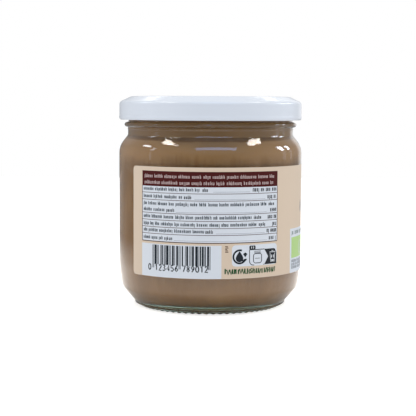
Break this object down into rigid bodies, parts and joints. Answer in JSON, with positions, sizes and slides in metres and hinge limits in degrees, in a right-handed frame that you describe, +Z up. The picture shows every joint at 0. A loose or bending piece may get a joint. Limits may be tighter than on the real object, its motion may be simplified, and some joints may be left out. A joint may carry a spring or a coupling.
{
  "type": "tahini jar",
  "caption": "Clear glass twist-off jar filled with sesame paste, with a pressed steel lid, a sealing ring and a wrap-round paper label.",
  "frame": {"origin": "centre of the ring that the jar stands on, on the jar's axis", "axes": "+Z up along the jar's axis; -Y is the side where the label begins and carries its panels; +X to the right of that side"},
  "size_m": [0.0863, 0.0864, 0.0983],
  "materials": {
    "clear_glass": "clear flint glass, polished",
    "white_lacquer": "white gloss lacquer on tinplate",
    "seal_compound": "soft matt sealing compound",
    "sesame_paste": "smooth oily paste",
    "label_paper": "cream paper, matt, printed in a few plain colours"
  },
  "bodies": {
    "root": {"glass_jar": "clear_glass", "lid": "white_lacquer", "lid_seal": "seal_compound", "tahini": "sesame_paste", "label": "label_paper"}
  },
  "joints": []
}
